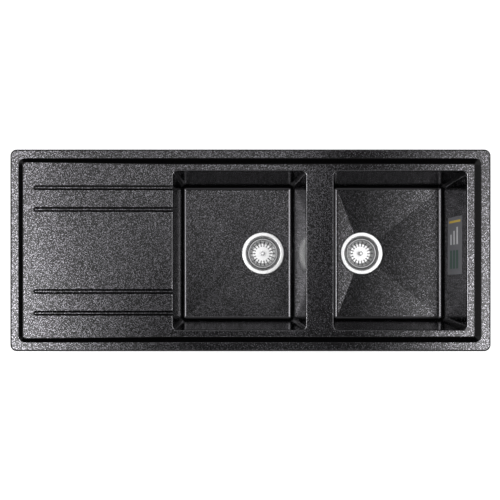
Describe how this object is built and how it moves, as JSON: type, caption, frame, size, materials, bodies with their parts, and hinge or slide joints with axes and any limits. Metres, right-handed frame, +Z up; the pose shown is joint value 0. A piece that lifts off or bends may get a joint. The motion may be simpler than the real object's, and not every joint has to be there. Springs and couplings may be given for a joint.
{
  "type": "double bowl kitchen sink",
  "caption": "Inset double bowl composite kitchen sink with a recessed, grooved drainer, lift-out strainer baskets and swinging worktop clips.",
  "frame": {"origin": "middle of the worktop cut-out, at the height of the worktop's top face, which the underside of the rim rests on", "axes": "+X along the sink from the drainer to the bowls, +Y to the back, +Z up"},
  "size_m": [1.19, 0.5, 0.295],
  "materials": {
    "composite": "speckled, semi-matt quartz composite",
    "foam": "closed-cell foam",
    "film": "printed film",
    "stainless": "polished stainless steel",
    "rubber": "moulded rubber",
    "plastic": "moulded polypropylene",
    "brass": "turned",
    "zinc": "zinc plated"
  },
  "bodies": {
    "sink": {"sink_body": "composite", "rim_seal": "foam", "bowl_sticker": "film", "clip_inserts": "brass", "left_strainer_cup": "stainless", "left_flange_gasket": "rubber", "left_waste_gasket": "rubber", "left_waste_body": "plastic", "left_waste_nut": "brass", "left_waste_screw": "stainless", "right_strainer_cup": "stainless", "right_flange_gasket": "rubber", "right_waste_gasket": "rubber", "right_waste_body": "plastic", "right_waste_nut": "brass", "right_waste_screw": "stainless"},
    "left_basket": {"left_basket": "stainless", "left_plug_seal": "rubber", "left_plug_washer": "stainless", "left_lift_knob": "stainless"},
    "right_basket": {"right_basket": "stainless", "right_plug_seal": "rubber", "right_plug_washer": "stainless", "right_lift_knob": "stainless"},
    "clip_screw_back_1": {"clip_screw_back_1": "zinc"},
    "clip_arm_back_1": {"clip_arm_back_1": "zinc"},
    "clip_screw_back_2": {"clip_screw_back_2": "zinc"},
    "clip_arm_back_2": {"clip_arm_back_2": "zinc"},
    "clip_screw_back_3": {"clip_screw_back_3": "zinc"},
    "clip_arm_back_3": {"clip_arm_back_3": "zinc"},
    "clip_screw_back_4": {"clip_screw_back_4": "zinc"},
    "clip_arm_back_4": {"clip_arm_back_4": "zinc"},
    "clip_screw_front_1": {"clip_screw_front_1": "zinc"},
    "clip_arm_front_1": {"clip_arm_front_1": "zinc"},
    "clip_screw_front_2": {"clip_screw_front_2": "zinc"},
    "clip_arm_front_2": {"clip_arm_front_2": "zinc"},
    "clip_screw_front_3": {"clip_screw_front_3": "zinc"},
    "clip_arm_front_3": {"clip_arm_front_3": "zinc"},
    "clip_screw_front_4": {"clip_screw_front_4": "zinc"},
    "clip_arm_front_4": {"clip_arm_front_4": "zinc"},
    "clip_screw_left_end": {"clip_screw_left_end": "zinc"},
    "clip_arm_left_end": {"clip_arm_left_end": "zinc"},
    "clip_screw_right_end": {"clip_screw_right_end": "zinc"},
    "clip_arm_right_end": {"clip_arm_right_end": "zinc"}
  },
  "joints": [
    {"name": "left_basket_lift", "type": "slide", "parent": "sink", "child": "left_basket", "axis": [0, 0, 1], "range_m": [0, 0.26]},
    {"name": "right_basket_lift", "type": "slide", "parent": "sink", "child": "right_basket", "axis": [0, 0, 1], "range_m": [0, 0.26]},
    {"name": "clip_tighten_back_1", "type": "slide", "parent": "sink", "child": "clip_screw_back_1", "axis": [0, 0, 1], "range_m": [0, 0.012]},
    {"name": "clip_swing_back_1", "type": "hinge", "parent": "clip_screw_back_1", "child": "clip_arm_back_1", "pos_m": [-0.505, 0.224, -0.05], "axis": [0, 0, 1], "range_deg": [0, 90]},
    {"name": "clip_tighten_back_2", "type": "slide", "parent": "sink", "child": "clip_screw_back_2", "axis": [0, 0, 1], "range_m": [0, 0.012]},
    {"name": "clip_swing_back_2", "type": "hinge", "parent": "clip_screw_back_2", "child": "clip_arm_back_2", "pos_m": [-0.16833, 0.224, -0.05], "axis": [0, 0, 1], "range_deg": [0, 90]},
    {"name": "clip_tighten_back_3", "type": "slide", "parent": "sink", "child": "clip_screw_back_3", "axis": [0, 0, 1], "range_m": [0, 0.012]},
    {"name": "clip_swing_back_3", "type": "hinge", "parent": "clip_screw_back_3", "child": "clip_arm_back_3", "pos_m": [0.16833, 0.224, -0.05], "axis": [0, 0, 1], "range_deg": [0, 90]},
    {"name": "clip_tighten_back_4", "type": "slide", "parent": "sink", "child": "clip_screw_back_4", "axis": [0, 0, 1], "range_m": [0, 0.012]},
    {"name": "clip_swing_back_4", "type": "hinge", "parent": "clip_screw_back_4", "child": "clip_arm_back_4", "pos_m": [0.505, 0.224, -0.05], "axis": [0, 0, 1], "range_deg": [0, 90]},
    {"name": "clip_tighten_front_1", "type": "slide", "parent": "sink", "child": "clip_screw_front_1", "axis": [0, 0, 1], "range_m": [0, 0.012]},
    {"name": "clip_swing_front_1", "type": "hinge", "parent": "clip_screw_front_1", "child": "clip_arm_front_1", "pos_m": [-0.505, -0.224, -0.05], "axis": [0, 0, 1], "range_deg": [0, 90]},
    {"name": "clip_tighten_front_2", "type": "slide", "parent": "sink", "child": "clip_screw_front_2", "axis": [0, 0, 1], "range_m": [0, 0.012]},
    {"name": "clip_swing_front_2", "type": "hinge", "parent": "clip_screw_front_2", "child": "clip_arm_front_2", "pos_m": [-0.16833, -0.224, -0.05], "axis": [0, 0, 1], "range_deg": [0, 90]},
    {"name": "clip_tighten_front_3", "type": "slide", "parent": "sink", "child": "clip_screw_front_3", "axis": [0, 0, 1], "range_m": [0, 0.012]},
    {"name": "clip_swing_front_3", "type": "hinge", "parent": "clip_screw_front_3", "child": "clip_arm_front_3", "pos_m": [0.16833, -0.224, -0.05], "axis": [0, 0, 1], "range_deg": [0, 90]},
    {"name": "clip_tighten_front_4", "type": "slide", "parent": "sink", "child": "clip_screw_front_4", "axis": [0, 0, 1], "range_m": [0, 0.012]},
    {"name": "clip_swing_front_4", "type": "hinge", "parent": "clip_screw_front_4", "child": "clip_arm_front_4", "pos_m": [0.505, -0.224, -0.05], "axis": [0, 0, 1], "range_deg": [0, 90]},
    {"name": "clip_tighten_left_end", "type": "slide", "parent": "sink", "child": "clip_screw_left_end", "axis": [0, 0, 1], "range_m": [0, 0.012]},
    {"name": "clip_swing_left_end", "type": "hinge", "parent": "clip_screw_left_end", "child": "clip_arm_left_end", "pos_m": [-0.57, 0, -0.05], "axis": [0, 0, 1], "range_deg": [0, 90]},
    {"name": "clip_tighten_right_end", "type": "slide", "parent": "sink", "child": "clip_screw_right_end", "axis": [0, 0, 1], "range_m": [0, 0.012]},
    {"name": "clip_swing_right_end", "type": "hinge", "parent": "clip_screw_right_end", "child": "clip_arm_right_end", "pos_m": [0.567, 0, -0.05], "axis": [0, 0, 1], "range_deg": [0, 90]}
  ]
}
